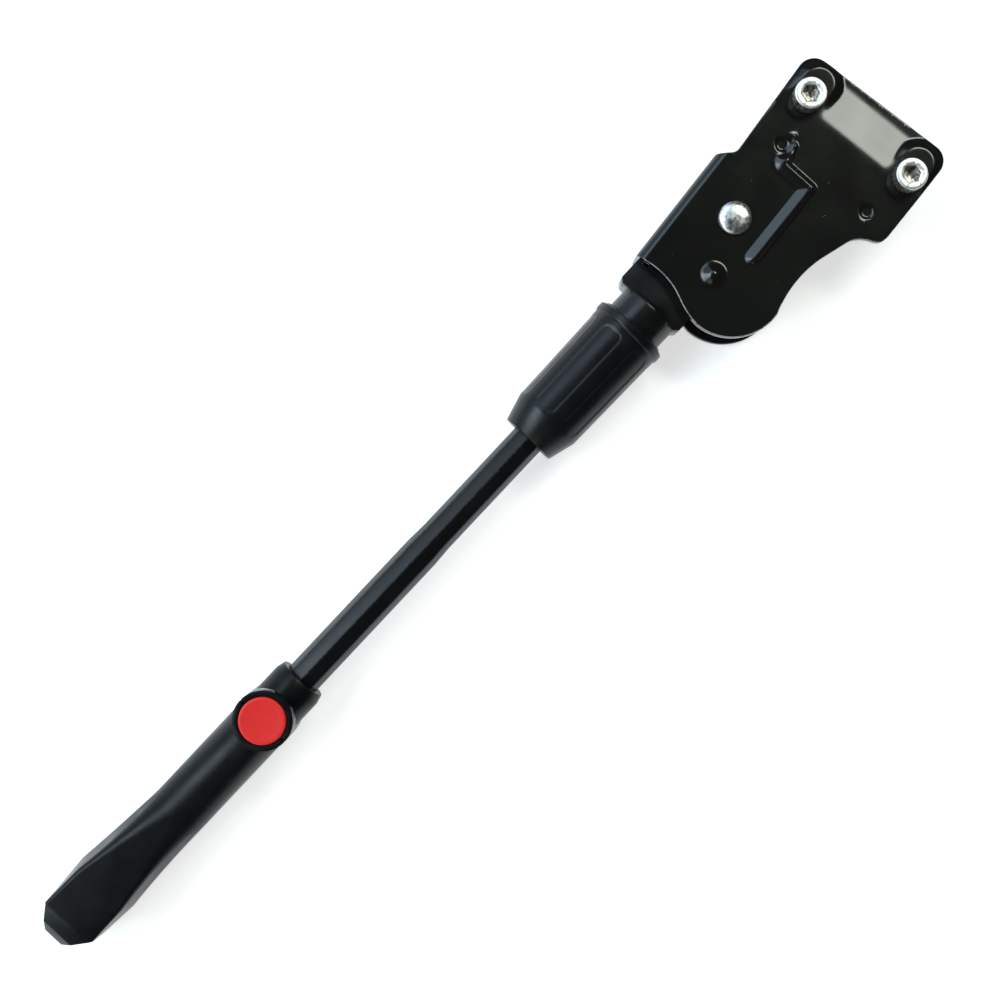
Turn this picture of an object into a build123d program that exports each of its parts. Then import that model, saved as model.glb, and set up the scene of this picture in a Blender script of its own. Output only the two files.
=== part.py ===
from build123d import *
import os
from math import atan2, cos, degrees, hypot, radians, sin

# Bicycle kickstand for a two-bolt frame plate, lying on its back, in millimetres.
# The origin is midway between the two bolts on the face that meets the bicycle frame.
# +X points from the leg towards the bolts, +Y along the bolt line, +Z out of the front.

# Bolts
bolt_spacing = 40.0
bolt_r = 3.0
bolt_hole_r = 3.3
bolt_length = 16.0
bolt_head_r = 5.0
bolt_head_height = 6.0
bolt_key_size = 5.0
bolt_key_depth = 3.2
bolt_edge = 0.5
bolt_neck_r = 3.1
bolt_neck_past = 0.3

# Folded steel bracket
wall = 3.2
gap = 16.8
bend_r = 3.2
inner_bend_r = 0.5
plate_top = 13.2
plate_side = 26.9
corner_r = 5.5
band_start = -2.2
band_end = 10.4
band_drop = 1.7
band_half = 14.2
band_draft = 40
left_edge_y = 28.6
left_bevel = 4.6
left_bevel_drop = 1.1
left_cut_start = -9.0

# Pivot
pivot_x = -43.6
pivot_y = 14.13
leg_angle = 175.5
leg_drop = 7.0
fold_travel = 94.5
rivet_r = 4.0
rivet_head_r = 5.3
rivet_head_height = 2.3
rivet_tail_r = 5.2
bush_r = 6.0
fit = 0.05
washer_t = 0.6
washer_r = 11.0
play = 0.05
cam_r = 9.0
cam_t = 6.0
cam_flat_r = 8.65
cam_ear_half = 4.0
cam_flat_width = 8.0
slot_play = 0.2
slot_depth = 9.8

# Leg head and its barrel
head_r = 12.0
bar_left = 9.7
bar_right = 11.0
shoulder_start = 29.4
shoulder_end = 38.2
shoulder_left = 13.4
shoulder_right = 11.4
shoulder_corner = 1.4
neck_root = 0.3
barrel_r = 10.1
spring_bore_r = 7.0
spring_bore_start = 48.0
plunger_r = 4.0
plunger_collar_play = 0.1
plunger_collar_lift = 0.3
plunger_collar_t = 3.0
plunger_stroke = 1.2
spring_play = 0.3
spring_wire_r = 0.8
spring_turns = 5

# Spring cover
cover_start = 46.2
cover_play = 0.1
cover_nose = 6.4
cover_cone = 8.95
cover_ring_t = 2.6
cover_ring_wall = 2.65
cover_top_wall = 2.15
cover_low_wall = 1.55
cover_tip_r = 9.25
cover_rod_play = 0.45
panel_inset = 5.0
panel_end_inset = 2.15
panel_depth = 0.42
panel_count = 6
panel_turn = 36.0
panel_phase = -2.0
clip_t = 0.8
clip_wall = 1.1

# Octagonal rod
rod_r_top = 5.55
rod_r_low = 5.9
rod_top = 75.4
swell_start = 137.0
swell_end = 144.2
rod_end = 253.0
rod_fit = 0.07
socket_cap_t = 1.9
rod_pin_r = 2.0
rod_pin_inset = 6.6
rod_pin_cover = 6.0
cap_t = 3.0
notch_pitch = 5.0
notch_width = 2.4
notch_depth = 0.8
notches_up = 7
notches_down = 4

# Foot, push button and lock
foot_top = 199.2
collar_r = 8.7
collar_cone = 0.75
collar_cone_run = 2.8
tube_r = 9.3
foot_fit = 0.25
foot_bore_spare = 1.0
button_x = 215.65
foot_up = 35.0
foot_down = 20.0
drum_wall = 1.7
drum_top = 11.4
drum_bottom = 12.8
drum_floor_t = 1.0
slit_width = 0.75
button_play = 0.3
button_top = 12.4
button_t = 3.0
button_stroke = 1.5
frame_t = 3.2
frame_half = 7.1
frame_window_play = 0.35
lock_play = 0.57
frame_head = 7.9
frame_foot = 8.2
frame_gap = 0.1
button_spring_wire_r = 0.3
button_spring_r = 3.2
button_spring_turns = 2
foot_tip = 312.0
foot_corner_x = 304.0
shoe_start = 257.0
shoe_belly_x = 290.0
tip_facet = 3.0

# Places worked out from the sizes
spring_r = spring_bore_r - spring_play - spring_wire_r
plunger_collar_r = spring_bore_r - plunger_collar_play
socket_start = rod_top - socket_cap_t
socket_r = spring_bore_r - fit
rod_pin_x = rod_top + rod_pin_inset
barrel_end = rod_pin_x + rod_pin_cover
cover_end = barrel_end + cover_nose
cover_cone_start = cover_end - cover_cone
cover_bore_r = barrel_r + cover_play
cover_ring_r = cover_bore_r + cover_ring_wall
cover_top_r = cover_bore_r + cover_top_wall
cover_low_r = cover_bore_r + cover_low_wall
cover_rod_r = rod_r_top + cover_rod_play
panel_start = cover_start + panel_inset
panel_end = cover_cone_start - panel_end_inset
cover_taper = (cover_top_r - cover_low_r) / (cover_cone_start - cover_start - cover_ring_t)
panel_start_r = cover_top_r - cover_taper * (panel_start - cover_start - cover_ring_t) - panel_depth
panel_end_r = cover_low_r + cover_taper * panel_end_inset - panel_depth
clip_r = barrel_r + clip_wall
foot_bore_end = rod_end + cap_t + foot_up + foot_bore_spare
drum_bore_r = hypot(frame_half, frame_t / 2) + lock_play
drum_r = drum_bore_r + drum_wall
button_r = drum_bore_r - button_play
frame_window = rod_r_low + frame_window_play
leg_z = -leg_drop
floor_z = -(gap + wall)
head_top = leg_drop - washer_t - 2 * play
head_bottom = gap - leg_drop - washer_t - 2 * play
foot_sole = gap + wall - leg_drop
leg_dir = Vector(cos(radians(leg_angle)), sin(radians(leg_angle)), 0)
leg = Plane(origin=(pivot_x, pivot_y, leg_z), x_dir=leg_dir, z_dir=(0, 0, 1))
low = (Align.CENTER, Align.CENTER, Align.MIN)
high = (Align.CENTER, Align.CENTER, Align.MAX)
bolts = [(0, -bolt_spacing / 2), (0, bolt_spacing / 2)]
flange_angle = 0.64
flange_low = (-71.5, 31.05)
flange_high = (-31.0, 31.5)
flange_run = Vector(cos(radians(flange_angle)), sin(radians(flange_angle)), 0)
flange = Plane(origin=(flange_low[0], flange_low[1], 0), x_dir=(0, 0, 1), z_dir=flange_run)
fold_in = bend_r + 0.4
flange_out = Vector(-flange_run.Y, flange_run.X, 0)
flange_reach = (Vector(*flange_low) - Vector(pivot_x, pivot_y)).dot(flange_out)


def inward(point, distance):
    """The point moved from the flange's outer face towards the inside of the bracket."""
    turn = radians(flange_angle)
    return (point[0] + distance * sin(turn), point[1] - distance * cos(turn))


def across(x):
    """Plane square to the leg at a distance x from the pivot, its own y pointing up."""
    origin = leg.from_local_coords(Vector(x, 0, 0))
    return Plane(origin=origin, x_dir=leg.y_dir, z_dir=leg.x_dir)


def along(x, z):
    """Level plane whose origin is a distance x down the leg and z above the leg's axis."""
    origin = leg.from_local_coords(Vector(x, 0, z))
    return Plane(origin=origin, x_dir=leg.x_dir, z_dir=(0, 0, 1))


def crosswise(x):
    """Upright plane through the leg's axis, its own x along the leg and y pointing up."""
    origin = leg.from_local_coords(Vector(x, 0, 0))
    return Plane(origin=origin, x_dir=leg.x_dir, z_dir=-leg.y_dir)


leg_line = Axis(leg.origin, leg.x_dir)


# Plan of the front wall, drawn from the flange round the bolts to the lobe
relief = (-27.2, 26.75)
relief_r = 2.8
ramp = (-28.12, 27.9)
back_corner_r = 6.0
near_foot = (-21.7, -plate_side)
scallop = (-24.6, -20.0)
nose = (-31.3, -16.9)
hollow = (-45.3, -13.35)
back_corner_y = -12.0
back_hollow_y = -12.6
back_step_y = 20.0
waist = (-71.9, 17.6)
lobe_x = -59.7
lobe_y = 2.3
lobe_r = 17.4
lobe_in = (lobe_x - lobe_r * cos(radians(22)), lobe_y + lobe_r * sin(radians(22)))
lobe_out = (lobe_x + lobe_r * sin(radians(3)), lobe_y - lobe_r * cos(radians(3)))
lobe_mid = (lobe_x - lobe_r * cos(radians(35)), lobe_y - lobe_r * sin(radians(35)))
back_end = -33.5

with BuildSketch() as front_plan:
    with BuildLine():
        Line(inward(flange_low, fold_in), inward(flange_high, fold_in))
        Line(inward(flange_high, fold_in), ramp)
        Line(ramp, relief)
        Line(relief, (plate_top - 0.5, left_edge_y))
        Line((plate_top - 0.5, left_edge_y), (plate_top + 0.9, -plate_side))
        Line((plate_top + 0.9, -plate_side), near_foot)
        ThreePointArc(near_foot, scallop, nose)
        ThreePointArc(nose, hollow, lobe_out)
        ThreePointArc(lobe_out, lobe_mid, lobe_in)
        ThreePointArc(lobe_in, waist, inward(flange_low, fold_in))
    make_face()
    fillet(front_plan.vertices().filter_by(lambda v: v.X > plate_top - 1), corner_r)
    fillet(front_plan.vertices().filter_by(lambda v: abs(v.X - near_foot[0]) < 0.1), 1.8)
    fillet(front_plan.vertices().filter_by(lambda v: abs(v.X - relief[0]) < 0.1), relief_r)
    fillet(front_plan.vertices().filter_by(lambda v: abs(v.X - nose[0]) < 0.1 and v.Y < 0), 4.0)
    fillet(front_plan.vertices().filter_by(lambda v: abs(v.X - lobe_in[0]) < 0.1), 5.0)

with BuildSketch() as back_plan:
    with BuildLine():
        Line(inward(flange_low, fold_in), inward(flange_high, fold_in))
        Line(inward(flange_high, fold_in), (back_end, back_step_y))
        Line((back_end, back_step_y), (back_end, back_corner_y))
        ThreePointArc((back_end, back_corner_y), (hollow[0], back_hollow_y), lobe_out)
        ThreePointArc(lobe_out, lobe_mid, lobe_in)
        ThreePointArc(lobe_in, waist, inward(flange_low, fold_in))
    make_face()
    fillet(back_plan.vertices().filter_by(lambda v: v.X > back_end - 0.1 and v.Y < 0), back_corner_r)
    fillet(back_plan.vertices().filter_by(lambda v: abs(v.X - lobe_in[0]) < 0.1), 5.0)

# The outer face slopes down between the bolts and stays flat round each bolt
band_slope = degrees(atan2(band_drop, band_end - band_start))
band_plane = Plane(
    origin=(band_start, 0, wall),
    x_dir=(cos(radians(band_slope)), 0, -sin(radians(band_slope))),
    z_dir=(sin(radians(band_slope)), 0, cos(radians(band_slope))),
)
band_reach = 2 * plate_top
with BuildPart() as band_cut:
    with BuildSketch(band_plane):
        with Locations((band_reach / 2, 0)):
            Rectangle(band_reach, 2 * band_half)
    extrude(amount=2 * wall, taper=-band_draft)
    with BuildSketch(Plane.XY.offset(wall - band_drop)):
        with Locations((band_end + band_reach / 2, 0)):
            Rectangle(band_reach, 2 * band_half)
    extrude(amount=-wall, mode=Mode.SUBTRACT)

with BuildPart() as left_cut:
    with BuildSketch(Plane.YZ.offset(left_cut_start)):
        with BuildLine():
            Polyline(
                (left_edge_y - left_bevel, wall),
                (left_edge_y + 1, wall - left_bevel_drop),
                (left_edge_y + 1, wall + 1),
                (left_edge_y - left_bevel, wall + 1),
                close=True,
            )
        make_face()
    extrude(amount=2 * plate_top)

# Pressed rib with two bends, the domed pip near the lobe and the two dents
rib_points = [(-15.6, 15.8), (-21.6, 14.6), (-23.8, 6.6), (-50.2, 3.4)]
rib_half = 2.4
rib_rise = 1.3
dome_x = -62.0
dome_y = 8.6
dome_r = 4.3
dome_rise = 1.7
dents = [(-17.0, 14.6), (-15.0, -18.4)]
dent_r = 2.0
dent_depth = 0.9

with BuildSketch(Plane.XY.offset(wall)) as rib_plan:
    for start, end in zip(rib_points[:-1], rib_points[1:]):
        run = Vector(*end) - Vector(*start)
        middle = (Vector(*end) + Vector(*start)) / 2
        turn = degrees(atan2(run.Y, run.X))
        with Locations(Location((middle.X, middle.Y, 0), (0, 0, turn))):
            SlotCenterToCenter(run.length, 2 * rib_half)

with BuildPart() as bracket:
    add(front_plan.sketch)
    extrude(amount=wall)
    add(back_plan.sketch.translate((0, 0, floor_z)))
    extrude(amount=wall)
    with BuildSketch(flange):
        with BuildLine():
            Polyline(
                (wall, fold_in + 0.6),
                (wall, 0),
                (floor_z, 0),
                (floor_z, fold_in + 0.6),
                (floor_z + wall, fold_in + 0.6),
                (floor_z + wall, wall),
                (0, wall),
                (0, fold_in + 0.6),
                close=True,
            )
        make_face()
        fillet(vertices().filter_by(lambda v: abs(v.Y) < 0.01), bend_r)
        fillet(vertices().filter_by(lambda v: abs(v.Y - wall) < 0.01), inner_bend_r)
    extrude(amount=45)
    with BuildSketch(Plane.XY.offset(floor_z)):
        with BuildLine():
            Polyline(flange_high, relief, (10, 40), (flange_high[0] - 1, 40), close=True)
        make_face()
    extrude(amount=gap + 2 * wall, mode=Mode.SUBTRACT)
    add(band_cut.part, mode=Mode.SUBTRACT)
    add(left_cut.part, mode=Mode.SUBTRACT)
    add(rib_plan.sketch)
    extrude(amount=rib_rise, taper=50)
    with BuildSketch(Plane.XZ.offset(-dome_y)):
        with BuildLine():
            ThreePointArc(
                (dome_x, wall + dome_rise),
                (dome_x + 0.71 * dome_r, wall + 0.55 * dome_rise),
                (dome_x + dome_r, wall),
            )
            Polyline(
                (dome_x + dome_r, wall),
                (dome_x, wall),
                (dome_x, wall + dome_rise),
            )
        make_face()
    revolve(axis=Axis((dome_x, dome_y, 0), (0, 0, 1)))
    with Locations(*[(x, y, wall) for x, y in dents]):
        Cylinder(dent_r, 2 * dent_depth, mode=Mode.SUBTRACT)
    with Locations(*[(x, y, wall) for x, y in bolts]):
        Hole(bolt_hole_r, depth=2 * wall)
    with Locations((pivot_x, pivot_y, wall)):
        Hole(rivet_r + fit, depth=gap + 2 * wall)
    with Locations((pivot_x, pivot_y, floor_z)):
        Cone(rivet_tail_r + fit, rivet_r + fit, 2 * (rivet_tail_r - rivet_r), align=low, mode=Mode.SUBTRACT)
bracket.part.label = "bracket"

# Bolts with a hexagon socket in the head
with BuildPart() as frame_bolts:
    with Locations(*[(x, y, wall) for x, y in bolts]):
        Cylinder(bolt_head_r, bolt_head_height, align=low)
        Cylinder(bolt_r, bolt_length, align=high)
        Cylinder(bolt_neck_r, wall + bolt_neck_past, align=high)
    tops = frame_bolts.edges().filter_by(GeomType.CIRCLE).group_by(Axis.Z)[-1]
    chamfer(tops, bolt_edge)
    tips = frame_bolts.edges().filter_by(GeomType.CIRCLE).group_by(Axis.Z)[0]
    chamfer(tips, bolt_edge)
    with BuildSketch(Plane.XY.offset(wall + bolt_head_height)):
        with Locations(*bolts):
            RegularPolygon(radius=bolt_key_size / 2, side_count=6, major_radius=False)
    extrude(amount=-bolt_key_depth, mode=Mode.SUBTRACT)
frame_bolts.part.label = "frame_bolts"

# Rivet with a domed head in front and a countersunk tail flush with the back wall
with BuildPart() as pivot_rivet:
    with BuildSketch(Plane.XZ.offset(-pivot_y)):
        with BuildLine():
            ThreePointArc(
                (pivot_x, wall + rivet_head_height),
                (pivot_x + 0.6 * rivet_head_r, wall + 0.86 * rivet_head_height),
                (pivot_x + rivet_head_r, wall + 0.35 * rivet_head_height),
            )
            Polyline(
                (pivot_x + rivet_head_r, wall + 0.35 * rivet_head_height),
                (pivot_x + rivet_head_r, wall),
                (pivot_x + rivet_r, wall),
                (pivot_x + rivet_r, floor_z + 2 * (rivet_tail_r - rivet_r)),
                (pivot_x + rivet_tail_r, floor_z),
                (pivot_x, floor_z),
                (pivot_x, wall + rivet_head_height),
            )
        make_face()
    revolve(axis=Axis((pivot_x, pivot_y, 0), (0, 0, 1)))
pivot_rivet.part.label = "pivot_rivet"

# Detent cam, held by its ear on the flange, with a flat for each end of the leg's travel
with BuildPart() as pivot_cam:
    with BuildSketch(Plane.XY.offset(leg_z - cam_t / 2)):
        with Locations((pivot_x, pivot_y)):
            Circle(cam_r)
        ear_reach = flange_reach - wall - play
        ear_turn = 90 + flange_angle
        ear_mid = Vector(pivot_x, pivot_y) + Vector(ear_reach / 2, 0).rotate(Axis.Z, ear_turn)
        with Locations(Location((ear_mid.X, ear_mid.Y, 0), (0, 0, ear_turn))):
            Rectangle(ear_reach, 2 * cam_ear_half)
        for turn in (leg_angle, leg_angle + fold_travel):
            flat = Vector(pivot_x, pivot_y) + Vector(cam_flat_r + wall / 2, 0).rotate(Axis.Z, turn)
            with Locations(Location((flat.X, flat.Y, 0), (0, 0, turn))):
                Rectangle(wall, cam_flat_width, mode=Mode.SUBTRACT)
    extrude(amount=cam_t)
    with Locations((pivot_x, pivot_y, leg_z + cam_t)):
        Hole(rivet_r + fit)
pivot_cam.part.label = "pivot_cam"

# Bushes on the rivet, either side of the cam, and the thrust washers
with BuildPart() as front_bush:
    with Locations((pivot_x, pivot_y, leg_z + cam_t / 2)):
        Cylinder(bush_r, leg_drop - cam_t / 2, align=low)
        Hole(rivet_r + fit)
front_bush.part.label = "front_bush"

with BuildPart() as rear_bush:
    with Locations((pivot_x, pivot_y, leg_z - cam_t / 2)):
        Cylinder(bush_r, gap - leg_drop - cam_t / 2, align=high)
        Hole(rivet_r + fit)
rear_bush.part.label = "rear_bush"

with BuildPart() as front_washer:
    with Locations((pivot_x, pivot_y, -play)):
        Cylinder(washer_r, washer_t, align=high)
        Cylinder(bush_r + fit, washer_t, align=high, mode=Mode.SUBTRACT)
front_washer.part.label = "front_washer"

with BuildPart() as rear_washer:
    with Locations((pivot_x, pivot_y, play - gap)):
        Cylinder(washer_r, washer_t, align=low)
        Cylinder(bush_r + fit, washer_t, align=low, mode=Mode.SUBTRACT)
rear_washer.part.label = "rear_washer"

# Leg head: two cheeks round the cam, a square shoulder, then the neck and the hollow barrel
with BuildPart() as leg_head:
    with BuildSketch(along(0, -head_bottom)):
        Circle(head_r)
        with BuildLine():
            Polyline(
                (0, bar_right),
                (shoulder_start, bar_right),
                (shoulder_start, -bar_left),
                (0, -bar_left),
                close=True,
            )
        make_face()
    extrude(amount=head_top + head_bottom)
    with BuildSketch(along(0, -head_bottom)):
        with BuildLine():
            Polyline(
                (shoulder_start, shoulder_right),
                (shoulder_end - shoulder_corner, shoulder_right),
                (shoulder_end, shoulder_right - shoulder_corner),
                (shoulder_end, -shoulder_left + shoulder_corner),
                (shoulder_end - shoulder_corner, -shoulder_left),
                (shoulder_start, -shoulder_left),
                close=True,
            )
        make_face()
    extrude(amount=head_top + head_bottom)
    with BuildSketch(across(shoulder_end - neck_root)):
        Circle(barrel_r)
    extrude(amount=barrel_end - shoulder_end + neck_root)
    with BuildSketch(across(spring_bore_start)):
        Circle(spring_bore_r)
    extrude(amount=barrel_end - spring_bore_start, mode=Mode.SUBTRACT)
    with BuildSketch(across(slot_depth - 1)):
        Circle(plunger_r + 0.06)
    extrude(amount=spring_bore_start - slot_depth + 2, mode=Mode.SUBTRACT)
    with BuildSketch(along(0, -cam_t / 2 - slot_play)):
        with Locations(((slot_depth - head_r - 3) / 2, 0)):
            Rectangle(slot_depth + head_r + 3, 2 * head_r + 6)
    extrude(amount=cam_t + 2 * slot_play, mode=Mode.SUBTRACT)
    with Locations(along(0, head_top)):
        Hole(bush_r + fit, depth=head_top + head_bottom)
    with Locations(crosswise(rod_pin_x)):
        Cylinder(rod_pin_r, 3 * barrel_r, mode=Mode.SUBTRACT)
leg_head.part.label = "leg_head"

# Plunger that presses on the cam, drawn just clear of it
with BuildPart() as plunger:
    with BuildSketch(across(cam_r + play)):
        Circle(plunger_r)
    extrude(amount=spring_bore_start + plunger_collar_lift - cam_r - play)
    with BuildSketch(across(spring_bore_start + plunger_collar_lift)):
        Circle(plunger_collar_r)
    extrude(amount=plunger_collar_t)
plunger.part.label = "plunger"

# Spring between the plunger and the rod's bush
spring_start = spring_bore_start + plunger_collar_lift + plunger_collar_t + spring_wire_r + play
spring_run = socket_start - spring_start - spring_wire_r - play
with BuildPart() as spring_coil:
    with BuildLine():
        Helix(spring_run / spring_turns, spring_run, spring_r)
    with BuildSketch(Plane(origin=(spring_r, 0, 0), x_dir=(1, 0, 0), z_dir=(0, 1, 0))):
        Circle(spring_wire_r)
    sweep(is_frenet=True)
with BuildPart() as leg_spring:
    add(across(spring_start).location * spring_coil.part)
leg_spring.part.label = "leg_spring"

# Bush with an octagonal hole that holds the rod in the barrel, and the pin through all three
with BuildPart() as rod_socket:
    with BuildSketch(across(socket_start)):
        Circle(socket_r)
    extrude(amount=barrel_end - socket_start)
    with BuildSketch(across(rod_top)):
        RegularPolygon(radius=rod_r_top + rod_fit, side_count=8, rotation=90)
    extrude(amount=barrel_end - rod_top, mode=Mode.SUBTRACT)
    with Locations(crosswise(rod_pin_x)):
        Cylinder(rod_pin_r, 3 * barrel_r, mode=Mode.SUBTRACT)
rod_socket.part.label = "rod_socket"

with BuildPart() as rod_pin:
    with Locations(crosswise(rod_pin_x)):
        Cylinder(rod_pin_r, 2 * (barrel_r - 0.2))
rod_pin.part.label = "rod_pin"

# Octagonal rod with a corner on top, thicker from half way down, notched underneath
with BuildPart() as leg_rod:
    with BuildSketch(across(rod_top)):
        RegularPolygon(radius=rod_r_top, side_count=8, rotation=90)
    extrude(amount=swell_start - rod_top)
    with BuildSketch(across(swell_start)):
        RegularPolygon(radius=rod_r_top, side_count=8, rotation=90)
    with BuildSketch(across(swell_end)):
        RegularPolygon(radius=rod_r_low, side_count=8, rotation=90)
    loft(ruled=True)
    with BuildSketch(across(swell_end)):
        RegularPolygon(radius=rod_r_low, side_count=8, rotation=90)
    extrude(amount=rod_end - swell_end)
    with Locations(crosswise(rod_pin_x)):
        Cylinder(rod_pin_r, 3 * barrel_r, mode=Mode.SUBTRACT)
    for step in range(notches_up + notches_down + 1):
        place = button_x + (step - notches_up) * notch_pitch
        with BuildSketch(across(place - notch_width / 2)):
            with Locations((0, -rod_r_low)):
                Rectangle(2 * rod_r_low, 2 * notch_depth)
        extrude(amount=notch_width, mode=Mode.SUBTRACT)
leg_rod.part.label = "leg_rod"

with BuildPart() as rod_end_cap:
    with BuildSketch(across(rod_end)):
        RegularPolygon(radius=rod_r_low - 0.1, side_count=8, rotation=90)
    extrude(amount=cap_t)
    chamfer(rod_end_cap.faces().sort_by(Axis.X)[0].edges(), 0.8)
rod_end_cap.part.label = "rod_end_cap"

# Moulded cover over the barrel: a rim, a body with shallow panels, and a cone on the rod
with BuildPart() as panel_cut:
    with BuildSketch(crosswise(0)):
        with BuildLine():
            Polyline(
                (panel_start, panel_start_r),
                (panel_end, panel_end_r),
                (panel_end, cover_ring_r),
                (panel_start, cover_ring_r),
                close=True,
            )
        make_face()
    revolve(axis=leg_line, revolution_arc=panel_turn)

with BuildPart() as spring_cover:
    with BuildSketch(crosswise(0)):
        with BuildLine():
            Polyline(
                (cover_start, cover_bore_r),
                (cover_start, cover_ring_r),
                (cover_start + cover_ring_t, cover_ring_r),
                (cover_start + cover_ring_t + 0.5, cover_top_r),
                (cover_cone_start, cover_low_r),
                (cover_end, cover_tip_r),
                (cover_end, cover_rod_r),
                (barrel_end + 0.1, cover_rod_r),
                (barrel_end + 0.1, cover_bore_r),
                (cover_start, cover_bore_r),
            )
        make_face()
    revolve(axis=leg_line)
    for step in range(panel_count):
        turn = panel_phase + step * 360 / panel_count
        add(panel_cut.part.rotate(leg_line, turn), mode=Mode.SUBTRACT)
spring_cover.part.label = "spring_cover"

with BuildPart() as cover_ring:
    with BuildSketch(across(cover_start - clip_t - play)):
        Circle(clip_r)
        Circle(barrel_r, mode=Mode.SUBTRACT)
    extrude(amount=clip_t)
cover_ring.part.label = "cover_ring"

# Sections of the foot from the round tube to the tip: sideways shift, height above and depth
# below the leg's axis, half widths at the top, belly and sole, the belly's height, roundings
shoe_places = (shoe_start, 274.0, shoe_belly_x, foot_corner_x, foot_tip)
hexagon_half = tube_r * 0.577
hexagon_corner = tube_r * 1.155
hexagon_round = tube_r * 0.97
shoe_top = 8.3
shoe_sections = (
    (0.0, tube_r, tube_r, hexagon_half, hexagon_corner, hexagon_half, 0.0, hexagon_round, hexagon_round),
    (-0.6, 9.2, 11.0, 7.4, 10.3, 7.2, -0.8, 3.6, 6.0),
    (-0.95, 9.0, foot_sole, 9.3, 11.3, 8.6, -2.6, 1.6, 3.2),
    (-1.05, shoe_top, foot_sole, 9.7, 10.3, 8.6, -2.6, 1.0, 1.6),
    (-1.2, shoe_top, foot_sole - 0.5, 9.7, 10.3, 8.6, -2.6, 1.0, 1.6),
)
tip_left = ((304.8, -10.4), (foot_tip, -4.9))
tip_right = ((303.2, 8.9), (foot_tip, 1.9))


def shoe_section(aside, top, bottom, top_half, belly, sole_half, belly_z, top_round, low_round):
    """Six-sided section of the foot with its corners rounded."""
    outline = Polygon(
        (aside + top_half, top),
        (aside + belly, belly_z),
        (aside + sole_half, -bottom),
        (aside - sole_half, -bottom),
        (aside - belly, belly_z),
        (aside - top_half, top),
        align=None,
    )
    rounded = fillet(outline.vertices().filter_by(lambda v: v.Y > top - 0.1), top_round)
    others = rounded.vertices().filter_by(lambda v: min(abs(v.Y - belly_z), abs(v.Y + bottom)) < 0.01)
    fillet(others, low_round)


# Foot: collar, upright boss for the button, tube, and a flared shoe with a blunt tip
with BuildPart() as foot:
    with BuildSketch(across(foot_top)):
        Circle(collar_r - collar_cone)
    with BuildSketch(across(foot_top + collar_cone_run)):
        Circle(collar_r)
    loft()
    with BuildSketch(across(foot_top + collar_cone_run)):
        Circle(collar_r)
    extrude(amount=button_x - foot_top - collar_cone_run)
    with BuildSketch(across(button_x)):
        shoe_section(*shoe_sections[0])
    extrude(amount=shoe_start - button_x)
    with BuildSketch(along(button_x, -drum_bottom)):
        Circle(drum_r)
    extrude(amount=drum_top + drum_bottom)
    for first, last in ((0, 3), (2, 4), (3, 5)):
        for place, values in list(zip(shoe_places, shoe_sections))[first:last]:
            with BuildSketch(across(place)):
                shoe_section(*values)
        loft()
    for (start, start_y), (end, end_y) in (tip_left, tip_right):
        outside = 3 * start_y
        with BuildSketch(along(0, foot_sole)):
            with BuildLine():
                Polyline(
                    (start, start_y),
                    (end, end_y),
                    (end + tip_facet, end_y),
                    (end + tip_facet, outside),
                    (start, outside),
                    close=True,
                )
            make_face()
        extrude(amount=-2 * foot_sole, mode=Mode.SUBTRACT)
    with BuildSketch(crosswise(foot_tip)):
        with BuildLine():
            Polyline(
                (-tip_facet, shoe_top),
                (0, shoe_top - tip_facet),
                (tip_facet, shoe_top),
                close=True,
            )
        make_face()
    extrude(amount=2 * tube_r, both=True, mode=Mode.SUBTRACT)
    with BuildSketch(across(foot_top)):
        RegularPolygon(radius=rod_r_low + foot_fit, side_count=8, rotation=90)
    extrude(amount=foot_bore_end - foot_top, mode=Mode.SUBTRACT)
    with BuildSketch(along(button_x, drum_floor_t - drum_bottom)):
        Circle(drum_bore_r)
    extrude(amount=drum_top + drum_bottom, mode=Mode.SUBTRACT)
    with BuildSketch(along(button_x, drum_top)):
        Rectangle(slit_width, 2 * drum_r + 4)
        Circle(drum_bore_r, mode=Mode.SUBTRACT)
    extrude(amount=-drum_top - drum_bottom, mode=Mode.SUBTRACT)
foot.part.label = "foot"

# Button, and the frame round the rod that it pushes down against its spring
with BuildPart() as push_button:
    with BuildSketch(along(button_x, button_top)):
        Circle(button_r)
    extrude(amount=-button_t)
    chamfer(push_button.edges().group_by(Axis.Z)[-1], 0.6)
push_button.part.label = "push_button"

with BuildPart() as lock_frame:
    with BuildSketch(across(button_x - frame_t / 2)):
        with BuildLine():
            Polyline(
                (-frame_half, -frame_foot),
                (frame_half, -frame_foot),
                (frame_half, button_top - button_t),
                (-frame_half, button_top - button_t),
                close=True,
            )
        make_face()
        with BuildLine():
            Polyline(
                (-frame_window, -rod_r_low - frame_gap),
                (frame_window, -rod_r_low - frame_gap),
                (frame_window, frame_head),
                (-frame_window, frame_head),
                close=True,
            )
        make_face(mode=Mode.SUBTRACT)
    extrude(amount=frame_t)
lock_frame.part.label = "lock_frame"

button_spring_low = -drum_bottom + drum_floor_t + button_spring_wire_r + play
button_spring_run = -frame_foot - play - button_spring_wire_r - button_spring_low
with BuildPart() as button_coil:
    with BuildLine():
        Helix(button_spring_run / button_spring_turns, button_spring_run, button_spring_r)
    with BuildSketch(Plane(origin=(button_spring_r, 0, 0), x_dir=(1, 0, 0), z_dir=(0, 1, 0))):
        Circle(button_spring_wire_r)
    sweep(is_frenet=True)
with BuildPart() as button_spring:
    add(along(button_x, button_spring_low).location * button_coil.part)
button_spring.part.label = "button_spring"

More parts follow.
